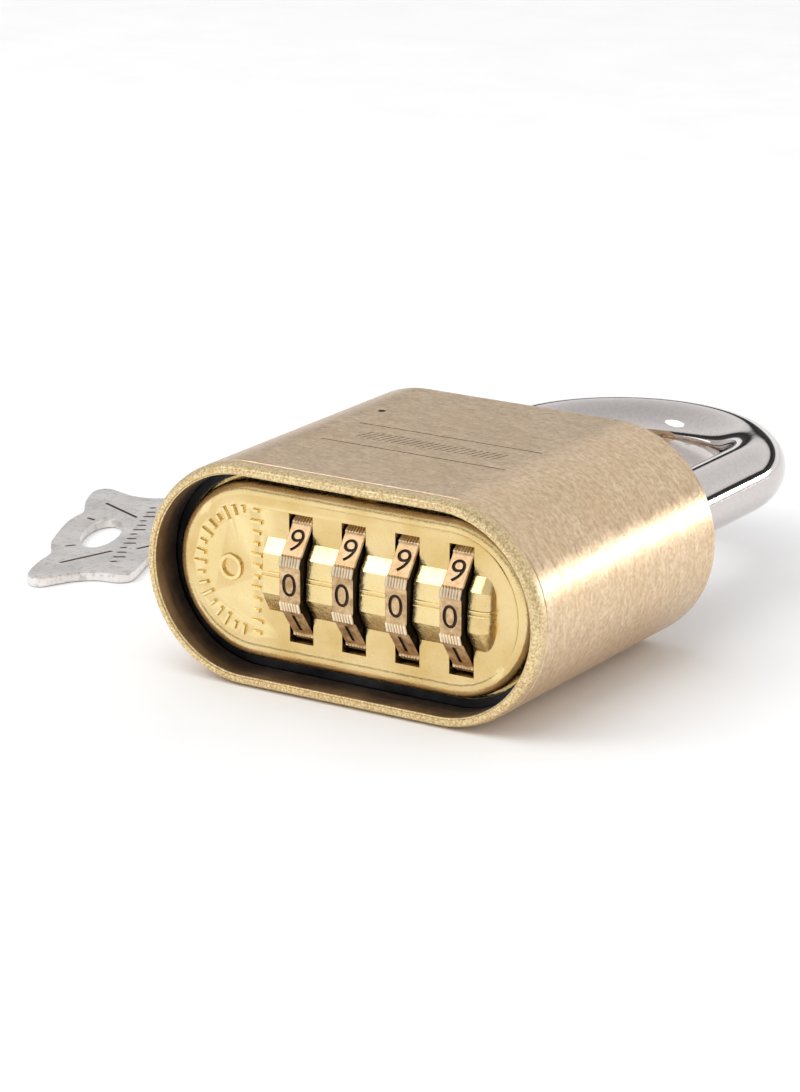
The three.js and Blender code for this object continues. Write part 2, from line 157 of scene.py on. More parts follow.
KEY_LOW, KEY_HIGH = box_mm("change_key")
KEY_AXIS = math.radians(24)
KEY_BLADE = (27, 2.1)
KEY_EDGE = 0.12
KEY_HOLE = (2.35, 6.1)
KEY_HOLE_SHIFT = -0.2
KEY_GROOVE = (0.27, 0.26)


# ---- camera: degrees, metres, and millimetres for the lens and sensor ----
VIEW_AZIMUTH = 32.56
VIEW_ELEVATION = 16.94
VIEW_TARGET = (-0.0008, -0.00546, 0.01458)
VIEW_DISTANCE = 0.4556
LENS = 136.1
SENSOR_HEIGHT = 36


# How bright the studio is, by the sine of the height above the horizon; below it, the first value
SKY_STOPS = ((0.0, 0.75), (0.118, 0.72), (0.145, 0.05), (0.258, 0.02), (0.285, 0.55), (0.34, 0.66),
             (0.62, 0.56), (1.0, 0.45))
SKY_STRENGTH = 1.4


# ---- mesh helpers ----
def loft(bm, rings):
    """Quads between rings of the same number of points, with flat ends."""
    rows = [[bm.verts.new(point) for point in ring] for ring in rings]
    for low, high in zip(rows, rows[1:]):
        for i in range(len(low)):
            j = (i + 1) % len(low)
            bm.faces.new((low[i], low[j], high[j], high[i]))
    bm.faces.new(rows[0][::-1])
    bm.faces.new(rows[-1])


def lofted(name, rings):
    bm = bmesh.new()
    loft(bm, rings)
    return to_object(name, bm)


def to_object(name, bm, turn_out=True):
    """A new object from a mesh, with the faces of a single solid turned outwards."""
    if turn_out:
        bmesh.ops.recalc_face_normals(bm, faces=bm.faces)
        if bm.calc_volume(signed=True) < 0:
            bmesh.ops.reverse_faces(bm, faces=bm.faces)
    mesh = bpy.data.meshes.new(name)
    bm.to_mesh(mesh)
    bm.free()
    piece = bpy.data.objects.new(name, mesh)
    bpy.context.scene.collection.objects.link(piece)
    return piece


def apply_modifiers(piece):
    depsgraph = bpy.context.evaluated_depsgraph_get()
    mesh = bpy.data.meshes.new_from_object(piece.evaluated_get(depsgraph))
    piece.modifiers.clear()
    piece.data = mesh


def combine(piece, tool, operation="DIFFERENCE"):
    """Cuts the tool out of the piece, or joins it on, and removes the tool."""
    modifier = piece.modifiers.new("combine", "BOOLEAN")
    modifier.operation = operation
    modifier.solver = "EXACT"
    modifier.object = tool
    apply_modifiers(piece)
    bpy.data.objects.remove(tool)


def block(name, x, y, z):
    """A box between two limits along each axis, as a cutting tool."""
    ring = [(x[0], z[0]), (x[1], z[0]), (x[1], z[1]), (x[0], z[1])]
    return lofted(name, [[Vector((a, level, b)) for a, b in ring] for level in y])


def turned(name, profile, centre, axis, steps=64):
    """Pairs of (radius, distance along the axis) turned about a line along X or Y."""
    rings = []
    for radius, along in profile:
        ring = []
        for i in range(steps):
            a = 2 * math.pi * i / steps
            u, v = radius * math.cos(a), radius * math.sin(a)
            if axis == "X":
                ring.append(Vector((along, centre[0] + u, centre[1] + v)))
            else:
                ring.append(Vector((centre[0] + u, along, centre[1] + v)))
        rings.append(ring)
    return lofted(name, rings)


def rod(name, radius, span, centre, axis, steps=64):
    return turned(name, [(radius, span[0]), (radius, span[1])], centre, axis, steps)


def joined(name, tools):
    """Several separate tools as one object."""
    bm = bmesh.new()
    for tool in tools:
        bm.from_mesh(tool.data)
        bpy.data.objects.remove(tool)
    return to_object(name, bm, turn_out=False)


def rounded(start, end, steps):
    """Points of a quarter ellipse from start to end, leaving along the first number."""
    points = []
    for i in range(steps + 1):
        a = math.pi / 2 * i / steps
        points.append((start[0] + (end[0] - start[0]) * math.sin(a),
                       end[1] + (start[1] - end[1]) * math.cos(a)))
    return points


def slot_ring(inset, y, steps=48):
    """The lock's slot-shaped section, moved inwards by inset, at one Y."""
    radius = HALF_THICK - inset
    centre = HALF_WIDTH - HALF_THICK
    ring = []
    for side in (1, -1):
        for i in range(steps + 1):
            a = (i / steps - 0.5) * math.pi
            ring.append(Vector((side * (centre + radius * math.cos(a)), y,
                                MID_Z + side * radius * math.sin(a))))
    return ring


def mark(piece, index):
    """Puts all faces of a piece in one material slot, so that cuts made with it keep their own finish."""
    piece.data.materials.clear()
    for slot in CUT_SLOTS:
        piece.data.materials.append(slot)
    piece.data.polygons.foreach_set("material_index", [index] * len(piece.data.polygons))
    return piece


def groove(start, end, half, depth, top):
    """A V cut between two points of a flat face that looks up, running out at both ends."""
    along = (end - start).normalized()
    side = Vector((-along.y, along.x, 0)) * half
    rings = []
    ramp = along * GROOVE_RUN_OUT
    for point, low in ((start, 0.01), (start + ramp, depth), (end - ramp, depth), (end, 0.01)):
        above = point + Vector((0, 0, top + 0.05))
        rings.append([above + side, point + Vector((0, 0, top - low)), above - side])
    return lofted("groove", rings)


def close_cracks(bm):
    """Splits each open edge at the open corners that lie on it, and welds them together."""
    open_edges = [edge for edge in bm.edges if edge.is_boundary]
    corners = {corner for edge in open_edges for corner in edge.verts}
    for edge in open_edges:
        start, end = edge.verts
        span = end.co - start.co
        touching = []
        for corner in corners - {start, end}:
            along = (corner.co - start.co).dot(span) / span.length_squared
            if 0 < along < 1 and (start.co + span * along - corner.co).length < SLIVER:
                touching.append((along, corner.co.copy()))
        for along, place in sorted(touching, key=lambda pair: -pair[0]):
            reach = (edge.other_vert(start).co - start.co).length
            new_edge, new_corner = bmesh.utils.edge_split(edge, start, along * span.length / reach)
            new_corner.co = place
            edge = new_edge if start in new_edge.verts else edge
    bmesh.ops.remove_doubles(bm, verts=[v for v in bm.verts if v.is_boundary], dist=SLIVER)


def tidy_faces(mesh):
    """Removes slivers, and where a crack was closed splits the large faces round its corners."""
    bm = bmesh.new()
    bm.from_mesh(mesh)
    bmesh.ops.dissolve_degenerate(bm, dist=SLIVER, edges=bm.edges)
    if any(edge.is_boundary for edge in bm.edges):
        close_cracks(bm)
        large = [face for face in bm.faces if len(face.verts) > 4]
        bmesh.ops.triangulate(bm, faces=large, ngon_method="BEAUTY")
    bm.to_mesh(mesh)
    bm.free()


def complete(piece, body, nodes, materials, sharp=32, choose=None):
    """Smooths, scales to metres, paints and hangs a finished piece on its body."""
    mesh = piece.data
    tidy_faces(mesh)
    for polygon in mesh.polygons:
        polygon.use_smooth = True
    mesh.set_sharp_from_angle(angle=math.radians(sharp))
    modifier = piece.modifiers.new("normals", "WEIGHTED_NORMAL")
    modifier.keep_sharp = True
    apply_modifiers(piece)
    indices = [choose(polygon) if choose else polygon.material_index for polygon in piece.data.polygons]
    piece.data.transform(Matrix.Scale(MM, 4))
    piece.data.materials.clear()
    for material in materials:
        piece.data.materials.append(material)
    piece.data.polygons.foreach_set("material_index", indices)
    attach(piece, body)
    if nodes:
        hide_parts(*nodes)


# ---- materials ----
class Nodes:
    """A short way to write one material's node tree."""

    def __init__(self, name):
        self.material = bpy.data.materials.new(name)
        self.material.use_nodes = True
        self.tree = self.material.node_tree
        self.shader = self.tree.nodes["Principled BSDF"]

    def add(self, kind, inputs=None, **settings):
        node = self.tree.nodes.new(kind)
        for key, value in settings.items():
            setattr(node, key, value)
        for key, value in (inputs or {}).items():
            self.feed(node, key, value)
        return node

    def feed(self, node, key, value):
        if isinstance(value, bpy.types.NodeSocket):
            self.tree.links.new(value, node.inputs[key])
        else:
            node.inputs[key].default_value = value

    def place(self, scale):
        """Object coordinates, stretched by one factor along each axis, in cells per metre."""
        where = self.add("ShaderNodeTexCoord").outputs["Object"]
        return self.add("ShaderNodeMapping", {"Vector": where, "Scale": scale}).outputs["Vector"]

    def noise(self, scale, detail=3.0, roughness=0.55):
        node = self.add("ShaderNodeTexNoise", {"Vector": self.place(scale), "Scale": 1.0,
                                               "Detail": detail, "Roughness": roughness})
        return node.outputs["Fac"]

    def remap(self, value, low, high, to_low=0.0, to_high=1.0):
        node = self.add("ShaderNodeMapRange", {"Value": value, "From Min": low, "From Max": high,
                                               "To Min": to_low, "To Max": to_high})
        return node.outputs["Result"]

    def math(self, operation, a, b):
        return self.add("ShaderNodeMath", {0: a, 1: b}, operation=operation).outputs[0]

    def mix(self, factor, a, b):
        node = self.add("ShaderNodeMix", data_type="RGBA")
        self.feed(node, 0, factor)
        self.feed(node, 6, a)
        self.feed(node, 7, b)
        return node.outputs[2]

    def along(self, axis):
        where = self.add("ShaderNodeTexCoord").outputs["Object"]
        return self.add("ShaderNodeSeparateXYZ", {"Vector": where}).outputs[axis]

    def edges(self, low, high):
        """1 on outer edges, where wear and a painted highlight go; 0 on flats and in corners."""
        point = self.add("ShaderNodeNewGeometry").outputs["Pointiness"]
        return self.remap(point, low, high)

    def bump(self, height, distance, strength=1.0, under=None):
        inputs = {"Height": height, "Distance": distance, "Strength": strength}
        if under is not None:
            inputs["Normal"] = under
        return self.add("ShaderNodeBump", inputs).outputs["Normal"]

    def done(self, colour, roughness, normal=None, metallic=1.0, **settings):
        self.feed(self.shader, "Base Color", colour)
        self.feed(self.shader, "Roughness", roughness)
        self.feed(self.shader, "Metallic", metallic)
        if normal is not None:
            self.feed(self.shader, "Normal", normal)
        for key, value in settings.items():
            self.feed(self.shader, key.replace("_", " "), value)
        return self.material


def shade(red, green, blue):
    """A colour given as 0 to 255 screen values, as the shader's linear numbers."""
    linear = []
    for value in (red, green, blue):
        c = value / 255
        linear.append(c / 12.92 if c <= 0.04045 else ((c + 0.055) / 1.055) ** 2.4)
    return (*linear, 1.0)


def satin_brass():
    """Brushed round the lock, with a milled, brighter lip at the dial end."""
    n = Nodes("satin_brass")
    fine = n.noise((650, 1900, 650), 3, 0.65)
    pebble = n.noise((1900, 1900, 1900), 2, 0.6)
    broad = n.noise((30, 520, 30), 3, 0.5)
    blotch = n.noise((130, 110, 130), 3, 0.6)
    lip = n.remap(n.along("Y"), (RIM_Y + 0.7) * MM, (RIM_Y + 1.7) * MM, 1, 0)
    grit = n.noise((3600, 3600, 3600), 4, 0.7)
    base = n.mix(n.remap(fine, 0.34, 0.66), shade(220, 192, 155), shade(244, 219, 186))
    base = n.mix(n.remap(pebble, 0.42, 0.66, 0, 0.5), base, shade(188, 158, 120))
    base = n.mix(n.remap(blotch, 0.45, 0.7, 0, 0.25), base, shade(216, 180, 132))
    base = n.mix(n.math("MULTIPLY", lip, 0.9), base, n.mix(n.remap(grit, 0.36, 0.62),
                 shade(196, 158, 98), shade(255, 238, 190)))
    rough = n.remap(n.math("ADD", n.math("MULTIPLY", fine, 0.6), n.math("MULTIPLY", broad, 0.4)),
                    0.35, 0.65, 0.26, 0.38)
    streaks = n.bump(fine, 0.000006, 1.0)
    soft = n.bump(broad, 0.000015, 0.6, streaks)
    height = n.math("MULTIPLY", grit, lip)
    dimple = n.bump(pebble, 0.000014, 0.9, soft)
    return n.done(base, rough, n.bump(height, 0.00008, 0.8, dimple))


def inner_brass():
    """The turned inside of the case, browner, greyer and duller; its darker colour is painted shade of the
    cavity.
    """
    n = Nodes("inner_brass")
    rings = n.noise((60, 3800, 60), 3, 0.6)
    stain = n.noise((260, 200, 260), 4, 0.6)
    # painted shade: the cavity walls get a darker, greyer brass than the outside
    base = n.mix(n.remap(stain, 0.35, 0.65), shade(152, 134, 122), shade(192, 172, 156))
    rough = n.remap(rings, 0.3, 0.7, 0.34, 0.52)
    return n.done(base, rough, n.bump(rings, 0.00002, 0.8))


def cast_gilt():
    """The cover: a bright, slightly lumpy casting with a thin gilt finish."""
    n = Nodes("cast_gilt")
    lumps = n.noise((700, 700, 700), 4, 0.6)
    pits = n.noise((2600, 2600, 2600), 3, 0.7)
    tone = n.noise((180, 180, 180), 3, 0.5)
    base = n.mix(n.remap(tone, 0.35, 0.65), shade(222, 192, 128), shade(238, 212, 156))
    # painted highlight: the cover's convex edges are painted brighter, also standing for wear
    edge_wear_and_highlight = n.edges(0.505, 0.56)
    base = n.mix(n.math("MULTIPLY", edge_wear_and_highlight, 0.6), base, shade(255, 236, 176))
    rough = n.remap(pits, 0.3, 0.7, 0.17, 0.30)
    low = n.bump(lumps, 0.00009, 0.7)
    return n.done(base, rough, n.bump(pits, 0.00003, 0.6, low))


def dial_brass():
    """Machined dials, browned by handling, with the rib tops painted bright as a painted highlight that
    also stands for rubbing by fingers.
    """
    n = Nodes("dial_brass")
    turning = n.noise((3600, 500, 500), 3, 0.6)
    grime = n.noise((900, 900, 900), 4, 0.65)
    where = n.add("ShaderNodeTexCoord").outputs["Object"]
    flat = n.add("ShaderNodeVectorMath", {0: where, 1: (0, DIAL_AXIS.y * MM, DIAL_AXIS.z * MM)},
                 operation="SUBTRACT").outputs["Vector"]
    flat = n.add("ShaderNodeVectorMath", {0: flat, 1: (0, 1, 1)}, operation="MULTIPLY").outputs["Vector"]
    radius = n.add("ShaderNodeVectorMath", {0: flat}, operation="LENGTH").outputs["Value"]
    # painted highlight: the rib tops are painted near-white, together with rubbing wear
    rib_highlight_and_rub = n.remap(radius, 8.33 * MM, 8.43 * MM)
    # painted shade: the bore and keyways inside each dial are painted near-black
    painted_bore_shade = n.remap(radius, 7.2 * MM, 7.9 * MM, 1, 0)
    base = n.mix(n.remap(grime, 0.35, 0.65), shade(180, 144, 102), shade(238, 208, 164))
    base = n.mix(rib_highlight_and_rub, base, shade(255, 242, 214))
    base = n.mix(painted_bore_shade, base, shade(44, 34, 28))
    rough = n.remap(grime, 0.3, 0.7, 0.3, 0.5)
    return n.done(base, rough, n.bump(turning, 0.00003, 0.8))


def figure_fill():
    """Dark paint in the cut figures, rubbed thin in places; the same dark is painted shade in the key's
    pressed lines and the body's engraved lines.
    """
    n = Nodes("figure_fill")
    rub = n.noise((2400, 2400, 2400), 3, 0.6)
    base = n.mix(n.remap(rub, 0.5, 0.75), shade(44, 28, 18), shade(104, 68, 38))
    return n.done(base, n.remap(rub, 0.3, 0.7, 0.5, 0.8), n.bump(rub, 0.00003, 0.7), metallic=0.0)


def polished_chrome():
    n = Nodes("polished_chrome")
    haze = n.noise((2200, 2200, 2200), 3, 0.6)
    drawn = n.noise((2600, 300, 2600), 2, 0.5)
    base = n.mix(n.remap(haze, 0.35, 0.65), shade(208, 201, 198), shade(216, 209, 206))
    rough = n.remap(haze, 0.35, 0.75, 0.045, 0.075)
    return n.done(base, rough, n.bump(drawn, 0.000004, 0.5))


def nickel_plate():
    n = Nodes("nickel_plate")
    grain = n.noise((1500, 1500, 1500), 4, 0.65)
    cloud = n.noise((220, 220, 220), 3, 0.5)
    base = n.mix(n.remap(cloud, 0.35, 0.65), shade(226, 221, 217), shade(244, 240, 236))
    base = n.mix(n.remap(grain, 0.52, 0.7, 0, 0.5), base, shade(160, 150, 142))
    rough = n.remap(grain, 0.3, 0.7, 0.3, 0.46)
    return n.done(base, rough, n.bump(grain, 0.00003, 0.7))


def plain_steel(name, dark, light, rough_low, rough_high, scale):
    """Sheet, turned, blackened or cast steel and zinc for the works inside."""
    n = Nodes(name)
    grain = n.noise(scale, 4, 0.6)
    cloud = n.noise((240, 240, 240), 3, 0.55)
    base = n.mix(n.remap(cloud, 0.35, 0.65), dark, light)
    rough = n.remap(grain, 0.3, 0.7, rough_low, rough_high)
    return n.done(base, rough, n.bump(grain, 0.00002, 0.8))


def floor_white():
    n = Nodes("floor_white")
    paper = n.noise((60, 60, 60), 4, 0.6)
    base = n.mix(n.remap(paper, 0.3, 0.7), shade(247, 247, 247), shade(251, 251, 251))
    return n.done(base, 0.85, n.bump(paper, 0.0001, 0.1), metallic=0.0)


# ---- lock body ----
def lock_body():
    near, far = RING_GROOVE
    profile = [(WALL, CAVITY_DEPTH), (WALL, far), (RING_GROOVE_INSET, far),
               (RING_GROOVE_INSET, near), (WALL, near)]
    profile += rounded((WALL, MOUTH_ROUND[1]), (WALL - MOUTH_ROUND[0], 0), 4)
    lip = []
    for i in range(13):
        a = math.pi / 2 * i / 12
        lip.append((LIP_ROUND_IN * (1 - math.sin(a)), LIP_ROUND * (1 - math.cos(a))))
    profile += [*lip, *LIP_LINE]
    length = BODY_HIGH.y - BODY_LOW.y
    for i in range(7):
        a = math.pi / 2 * i / 6
        profile.append((SHOULDER_ROUND * (1 - math.cos(a)),
                        length - SHOULDER_ROUND * (1 - math.sin(a))))
    body = lofted("lock_body_case", [slot_ring(inset, RIM_Y + y) for inset, y in profile])
    floor = RIM_Y + CAVITY_DEPTH - 1
    outside = BODY_HIGH.y + 5
    height = (MID_Z - CHAMBER_HALF, MID_Z + CHAMBER_HALF)
    combine(body, block("chamber", (CHAMBER_LEFT, LEG_X), (floor, RIM_Y + CHAMBER_END), height))
    combine(body, rod("heel_bore", LEG_BORE, (floor, outside), (LEG_X, MID_Z), "Y"))
    combine(body, rod("toe_bore", LEG_BORE, (TOE_END - 0.4, outside), (-LEG_X, MID_Z), "Y"))
    combine(body, rod("cam_bore", CAM_BORE, (floor, TOE_END), (-LEG_X, MID_Z), "Y"))
    for x in (LEG_X, -LEG_X):
        mouth = [(LEG_BORE - 0.3, BODY_HIGH.y - 0.6), (LEG_BORE + 0.6, BODY_HIGH.y + 0.3)]
        combine(body, turned("mouth", mouth, (x, MID_Z), "Y"))
    holes = [(x, CAGE_SCREW_Z, *CAGE_SCREW_HOLE) for x in CAGE_SCREW_X]
    holes.append((-LEG_X, CAM_SCREW_Z, *CAM_SCREW_HOLE))
    for x, reach, radius, depth in holes:
        for z in (MID_Z - reach, MID_Z + reach):
            combine(body, rod("screw_hole", radius, (floor, RIM_Y + depth), (x, z), "Y", 20))
    mark(body, 0)
    combine(body, engraving())
    finishes = [satin_brass(), inner_brass(), figure_fill()]
    complete(body, "case", ["lock_body"], finishes, choose=body_finish)


def body_finish(polygon):
    """Slot 1 for the walls of the cavity, which carry painted shade, slot 2 for what is engraved, slot 0
    for the rest.
    """
    centre = polygon.center
    reach = max(abs(centre.x) - (HALF_WIDTH - HALF_THICK), 0)
    inset = HALF_THICK - math.hypot(reach, centre.z - MID_Z)
    inside = inset > WALL - 0.06 and RIM_Y + 0.3 < centre.y < RIM_Y + CAVITY_DEPTH + 0.1
    return 1 if inside else polygon.material_index


def engraving():
    """Two lines across the top, a plain slanted hatch between them and a small punch mark."""
    top = BODY_HIGH.z
    tools = []
    for y in GROOVES:
        start, end = (Vector((x, RIM_Y + y, 0)) for x in GROOVE_X)
        tools.append(groove(start, end, GROOVE_HALF, GROOVE_DEPTH, top))
    middle = RIM_Y + sum(GROOVES) / 2
    for i in range(HATCH_COUNT):
        x = HATCH_X[0] + (HATCH_X[1] - HATCH_X[0]) * i / (HATCH_COUNT - 1)
        lean = Vector((HATCH_LEAN, HATCH_HALF, 0))
        centre = Vector((x, middle, 0))
        tools.append(groove(centre - lean, centre + lean, HATCH_CUT, HATCH_CUT, top))
    tools.append(punch_mark())
    # slot 2 takes the dark fill: painted shade in the engraved lines
    return mark(joined("engraving", tools), 2)


def punch_mark():
    """A small round centre punch behind the lines."""
    top = BODY_HIGH.z
    rings = []
    for radius, z in ((0.05, top - 0.3), (0.42, top - 0.12), (0.52, top + 0.1)):
        ring = []
        for i in range(24):
            a = 2 * math.pi * i / 24
            x = PUNCH[0] + radius * math.cos(a)
            y = RIM_Y + PUNCH[1] + radius * math.sin(a)
            ring.append(Vector((x, y, z)))
        rings.append(ring)
    return lofted("punch", rings)


# ---- dial cover ----
def barrel_ring(x, shrink=0.0):
    """The barrel's section: five flats over the front, with two index ridges on the middle one."""
    ring = []
    for degrees in BARREL_CORNERS:
        a = math.radians(degrees)
        radius = BARREL_RADIUS - shrink
        ring.append(Vector((x, DIAL_AXIS.y - radius * math.cos(a), MID_Z + radius * math.sin(a))))
        if degrees == INDEX_FLAT[0]:
            ring += [index_point(x, place, lift, shrink) for place, lift in INDEX_RIDGES]
    return ring


def index_point(x, degrees, lift, shrink):
    """A point on the barrel's middle flat, lifted by a ridge."""
    a = math.radians(degrees)
    middle = math.radians(sum(INDEX_FLAT) / 2)
    half = math.radians((INDEX_FLAT[0] - INDEX_FLAT[1]) / 2)
    flat = (BARREL_RADIUS - shrink) * math.cos(half) / math.cos(a - middle)
    radius = flat + lift
    return Vector((x, DIAL_AXIS.y - radius * math.cos(a), MID_Z + radius * math.sin(a)))


def barrel():
    left, right = BARREL_X
    length, narrowing = BARREL_NOSE
    rings = [barrel_ring(left, BARREL_CHAMFER[1]), barrel_ring(left + BARREL_CHAMFER[0])]
    for i in range(9):
        a = math.pi / 2 * i / 8
        rings.append(barrel_ring(right - length + length * math.sin(a), narrowing * (1 - math.cos(a))))
    return lofted("barrel", rings)


def dial_cover():
    back = COVER_HIGH.y
    flange = back - FLANGE_THICK
    profile = [(FLANGE_INSET, back), (FLANGE_INSET, flange + FLANGE_CHAMFER),
               (FLANGE_INSET + FLANGE_CHAMFER, flange), (COVER_INSET - 0.05, flange)]
    for i in range(11):
        a = math.pi / 2 * i / 10
        profile.append((COVER_INSET + COVER_ROUND * (1 - math.cos(a)),
                        COVER_FACE + COVER_ROUND * (1 - math.sin(a))))
    crest = COVER_INSET + COVER_ROUND
    profile += [(crest + inset, COVER_FACE + low) for inset, low in COVER_DISH]
    cover = lofted("dial_cover_plate", [slot_ring(inset, y) for inset, y in profile])
    combine(cover, barrel(), "UNION")
    combine(cover, raised_marks(), "UNION")
    combine(cover, block("back_half", (-FAR, FAR), (back, FAR), (-FAR, FAR)))
    axis = (DIAL_AXIS.y, MID_Z)
    hollow = (BARREL_X[0] + BARREL_END_WALL, BARREL_X[1] - BARREL_END_WALL)
    combine(cover, rod("bore", BARREL_BORE, hollow, axis, "X", 72))
    for x in DIAL_X:
        span = (x - SLOT[0] / 2, x + SLOT[0] / 2)
        height = (MID_Z - SLOT[1] / 2, MID_Z + SLOT[1] / 2)
        combine(cover, block("slot", span, (RIM_Y - 3, RIM_Y + 8), height))
        room = rod("rib_room", RIB_RADIUS + RIB_CLEARANCE, span, axis, "X", 72)
        combine(room, block("front", (-FAR, FAR), (-FAR, COVER_FACE + RIB_ROOM_DEPTH), (-FAR, FAR)))
        combine(cover, room)
    complete(cover, "case", ["dial_cover"], [cast_gilt()], sharp=20)


def raised_marks():
    """Plain strokes where the plate carries cast marks: an arc, a column and a ring."""
    centre = -(HALF_WIDTH - HALF_THICK)
    low, high = COVER_FACE - 0.2, COVER_FACE + 0.3
    bars = []
    for i in range(17):
        a = math.radians(100 + 160 * i / 16)
        length = 0.8 + 0.35 * ((i * 7) % 3)
        x = centre + MARKS_RADIUS * math.cos(a)
        z = MID_Z + MARKS_RADIUS * math.sin(a)
        bars.append(stroke(x, z, a, length, (low, high)))
    for i in range(12):
        z = MID_Z + MARKS_RADIUS - 2 * MARKS_RADIUS * i / 11
        bars.append(stroke(centre + 0.55, z, 0, 0.7 + 0.4 * ((i * 5) % 3), (low, high)))
    place = (centre - MARK_RING_IN, MID_Z)
    outer, inner = MARK_RING
    ring = turned("ring", [(outer, high), (outer, COVER_FACE), (outer - 0.1, low)], place, "Y", 48)
    combine(ring, rod("ring_hole", inner, (low - 1, high + 1), place, "Y", 48))
    return joined("marks", bars + [ring])


def stroke(x, z, angle, length, y, half=0.17):
    """A short raised bar on the cover's face, narrower on top."""
    along = Vector((math.cos(angle), 0, math.sin(angle)))
    across = Vector((-along.z, 0, along.x))
    rings = []
    for level, grow in ((y[1], 0.07), (COVER_FACE - 0.02, 0.05), (y[0], -0.03)):
        a, b = along * (length / 2 + grow), across * (half + grow)
        centre = Vector((x, level, z))
        rings.append([centre - a - b, centre + a - b, centre + a + b, centre - a + b])
    return lofted("stroke", rings)


# ---- dials ----
def dial_ring(x, chamfer, notch):
    """One section of a dial: ten flat faces between ten ribs."""
    step = 2 * math.pi / FIGURES
    ring = []
    for k in range(FIGURES):
        corner = (k + 0.5) * step
        face = FACE_RADIUS / math.cos(step / 2 - math.radians(RIB_FOOT))
        shoulder, top = RIB_RADIUS - 0.1 - notch, RIB_RADIUS - notch
        for offset, radius in ((-RIB_FOOT, face), (-RIB_SHOULDER, shoulder), (-RIB_TOP, top),
                               (RIB_TOP, top), (RIB_SHOULDER, shoulder), (RIB_FOOT, face)):
            a = corner + math.radians(offset)
            r = radius - chamfer
            ring.append(Vector((x, DIAL_AXIS.y - r * math.cos(a), MID_Z - r * math.sin(a))))
    return ring


def figure_tool(figure):
    """One figure, standing on the face that looks towards -Y, as a cutting tool."""
    curve = bpy.data.curves.new("figure", "FONT")
    curve.body = str(figure)
    curve.size = 3.6
    curve.align_x = "CENTER"
    curve.align_y = "CENTER"
    curve.extrude = FIGURE_DEPTH
    curve.resolution_u = 5
    text = bpy.data.objects.new("figure", curve)
    bpy.context.scene.collection.objects.link(text)
    depsgraph = bpy.context.evaluated_depsgraph_get()
    mesh = bpy.data.meshes.new_from_object(text.evaluated_get(depsgraph))
    bpy.data.objects.remove(text)
    bm = bmesh.new()
    bm.from_mesh(mesh)
    bmesh.ops.remove_doubles(bm, verts=bm.verts, dist=0.001)
    low = [min(v.co[i] for v in bm.verts) for i in range(2)]
    high = [max(v.co[i] for v in bm.verts) for i in range(2)]
    middle = Vector(((low[0] + high[0]) / 2, (low[1] + high[1]) / 2, 0))
    bmesh.ops.translate(bm, verts=bm.verts, vec=-middle)
    tall = FIGURE_HEIGHT / (high[1] - low[1])
    bm.transform(Matrix.Diagonal((FIGURE_SPREAD * tall, tall, 1, 1)))
    bm.transform(Matrix.Rotation(math.pi / 2, 4, "X"))
    bm.transform(Matrix.Translation((0, -FACE_RADIUS, 0)))
    bm.transform(Matrix.Rotation(2 * math.pi * figure / FIGURES, 4, "X"))
    bm.transform(Matrix.Translation(DIAL_AXIS))
    return to_object("figure", bm)


def clutch_slots():
    """Ten keyways that the sleeve's teeth slide in."""
    tools = []
    for k in range(FIGURES):
        tool = block("keyway", (-2, 0), (4.6, DIAL_CUP), (-KEYWAY_HALF, KEYWAY_HALF))
        tool.data.transform(Matrix.Rotation(2 * math.pi * k / FIGURES, 4, "X"))
        tool.data.transform(Matrix.Translation(DIAL_AXIS))
        tools.append(tool)
    return joined("keyways", tools)


def dial_master():
    """A dial centred on X = 0."""
    half = DIAL_WIDTH / 2
    rings = [dial_ring(-half, DIAL_CHAMFER, 0), dial_ring(-half + DIAL_CHAMFER, 0, 0)]
    for x in KNURL_X:
        rings += [dial_ring(x - 0.12, 0, 0), dial_ring(x - 0.04, 0, KNURL_DEPTH),
                  dial_ring(x + 0.04, 0, KNURL_DEPTH), dial_ring(x + 0.12, 0, 0)]
    rings += [dial_ring(half - DIAL_CHAMFER, 0, 0), dial_ring(half, DIAL_CHAMFER, 0)]
    bm = bmesh.new()
    loft(bm, rings)
    bmesh.ops.remove_doubles(bm, verts=bm.verts, dist=1e-4)
    dial = to_object("dial", bm)
    axis = (DIAL_AXIS.y, MID_Z)
    bore = [(DIAL_BORE, -half - 1), (DIAL_BORE, DIAL_CUP_FROM), (DIAL_CUP, DIAL_CUP_FROM),
            (DIAL_CUP, half + 1)]
    combine(dial, turned("bore", bore, axis, "X", 60))
    combine(dial, clutch_slots())
    mark(dial, 0)
    combine(dial, mark(joined("figures", [figure_tool(k) for k in range(FIGURES)]), 1))
    return dial


def dial_finish(polygon):
    """Slot 2, painted near-black as painted shade, for a dial's flat sides; its figures and rim keep their
    own.
    """
    return 2 if abs(polygon.normal.x) > 0.9 else polygon.material_index


def dials():
    master = dial_master()
    # painted shade: the dials' flat sides, in shadow between the dials, are painted near-black
    shaded_sides = plain_steel("dial_sides_painted_shade", shade(30, 24, 20), shade(56, 44, 32), 0.4, 0.6, (900, 900, 900))
    finishes = [dial_brass(), figure_fill(), shaded_sides]
    for k, x in enumerate(DIAL_X, 1):
        dial = bpy.data.objects.new(f"dial_{k}_wheel", master.data.copy())
        bpy.context.scene.collection.objects.link(dial)
        dial.data.transform(Matrix.Translation((x, 0, 0)))
        complete(dial, f"dial_{k}", [f"dial_wheel_{k}"], finishes, 20, dial_finish)
    bpy.data.objects.remove(master)


